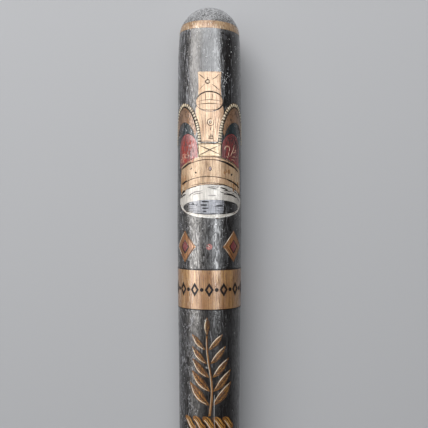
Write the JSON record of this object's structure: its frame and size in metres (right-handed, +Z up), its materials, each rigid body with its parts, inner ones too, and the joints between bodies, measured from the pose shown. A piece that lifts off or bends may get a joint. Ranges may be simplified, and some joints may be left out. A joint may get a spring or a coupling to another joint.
{
  "type": "painted wooden truncheon",
  "caption": "Turned wooden truncheon, ebonised and varnished, with a painted and gilded crown, band, leaf spray and wreath, a ribbed grip and a thong hole.",
  "frame": {"origin": "on the surface it lies on, below the middle of its length and of its width", "axes": "+Y along the truncheon from butt to tip, +Z up through the middle of the painted face, +X to the right seen from above with the tip away"},
  "size_m": [0.042, 0.445, 0.0421],
  "materials": {
    "ebonised_wood": "aged gloss varnish",
    "gilt": "rubbed gilt paint under varnish",
    "red_paint": "aged gloss",
    "white_paint": "aged gloss",
    "pearl_paint": "aged gloss",
    "black_paint": "aged gloss"
  },
  "bodies": {
    "root": {"turned_body": "ebonised_wood", "tip_band": "gilt", "crown_cross": "gilt", "crown_orb": "gilt", "crown_centre_arch": "gilt", "crown_arch_left": "gilt", "crown_arch_right": "gilt", "crown_brow_panel": "gilt", "crown_circlet": "gilt", "side_device_left": "gilt", "side_device_right": "gilt", "middle_band": "gilt", "spray_stem": "gilt", "spray_leaves": "gilt", "twisted_wreath": "gilt", "crown_cap_left": "red_paint", "crown_cap_right": "red_paint", "device_core_left": "red_paint", "device_core_right": "red_paint", "centre_stop": "red_paint", "crown_ermine_ring": "white_paint", "crown_pearls_left": "pearl_paint", "crown_pearls_right": "pearl_paint", "band_chain": "black_paint"}
  },
  "joints": []
}
